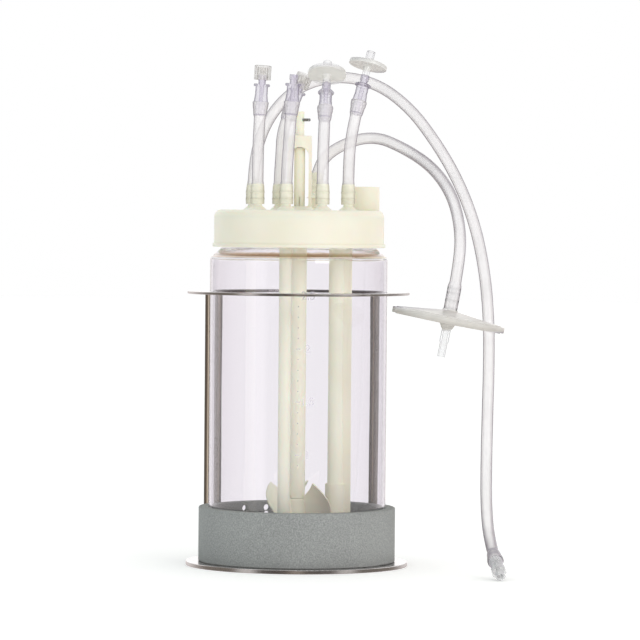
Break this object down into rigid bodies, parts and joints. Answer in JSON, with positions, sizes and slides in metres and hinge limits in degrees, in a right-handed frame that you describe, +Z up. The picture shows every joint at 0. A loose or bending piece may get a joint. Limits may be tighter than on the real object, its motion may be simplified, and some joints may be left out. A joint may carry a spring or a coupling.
{
  "type": "bench bioreactor",
  "caption": "Stirred single-use bioreactor: clear jar in a steel and foam stand, head plate with hose barbs and bearing tower, marine impeller, hoses with luer fittings and vent filters.",
  "frame": {"origin": "middle of the base plate's underside, on the bench", "axes": "+Z up along the jar and the stirrer shaft; the front, with the row of hose barbs, faces -Y; +X is to the right, where the vent filter hangs"},
  "size_m": [0.2338, 0.2079, 0.3833],
  "materials": {
    "stainless_steel": "satin",
    "bright_steel": "polished",
    "grey_foam": "speckled matte",
    "clear_jar": "clear gloss",
    "white_silicone": "matte",
    "cream_plastic": "matte, slightly translucent",
    "white_plastic": "satin",
    "clear_hose": "translucent",
    "clear_fitting": "clear gloss",
    "filter_shell": "milky",
    "filter_membrane": "matte"
  },
  "bodies": {
    "vessel": {"base_plate": "stainless_steel", "stand_rod_left": "stainless_steel", "stand_rod_right": "stainless_steel", "top_ring": "stainless_steel", "base_screws": "bright_steel", "holder_collar": "grey_foam", "vessel_jar": "clear_jar", "jar_neck": "clear_jar", "neck_gasket": "white_silicone", "shaft_seal": "white_silicone", "head_plate": "cream_plastic", "plate_skirt": "cream_plastic", "pipe_sockets": "cream_plastic", "bearing_tower": "cream_plastic", "sensor_boss": "cream_plastic", "hose_barbs": "cream_plastic", "dip_tube": "cream_plastic", "probe_well": "cream_plastic", "shaft_bush_upper": "white_plastic", "shaft_bush_lower": "white_plastic", "hose_front_left": "clear_hose", "luer_front_left": "clear_fitting", "hose_front_inner": "clear_hose", "luer_front_inner": "clear_fitting", "hose_front_right": "clear_hose", "luer_front_right": "clear_fitting", "hose_right": "clear_hose", "luer_right": "clear_fitting", "hose_rear": "clear_hose", "luer_rear": "clear_fitting", "hose_long": "clear_hose", "hose_vent": "clear_hose", "luer_long": "clear_fitting", "disc_lower_front_right": "filter_shell", "disc_upper_front_right": "filter_shell", "disc_sheet_front_right": "filter_membrane", "disc_lower_right": "filter_shell", "disc_upper_right": "filter_shell", "disc_sheet_right": "filter_membrane", "vent_upper": "filter_shell", "vent_lower": "filter_shell", "vent_sheet": "filter_membrane"},
    "stirrer": {"stirrer_shaft": "cream_plastic", "drive_pin": "bright_steel", "impeller": "cream_plastic"},
    "cap_front_left": {"luer_cap_front_left": "clear_fitting"},
    "cap_rear": {"luer_cap_rear": "clear_fitting"}
  },
  "joints": [
    {"name": "stirrer_spin", "type": "hinge", "parent": "vessel", "child": "stirrer", "pos_m": [0, 0, 0.2], "axis": [0, 0, 1], "continuous": true},
    {"name": "cap_front_left_turn", "type": "hinge", "parent": "vessel", "child": "cap_front_left", "pos_m": [-0.02804, -0.02518, 0.36187], "axis": [0.0604, -0.0161, 0.998], "range_deg": [0, 180]},
    {"name": "cap_rear_turn", "type": "hinge", "parent": "vessel", "child": "cap_rear", "pos_m": [0.00031, 0.02353, 0.35808], "axis": [0.3812, -0.1402, 0.9138], "range_deg": [0, 180]}
  ]
}
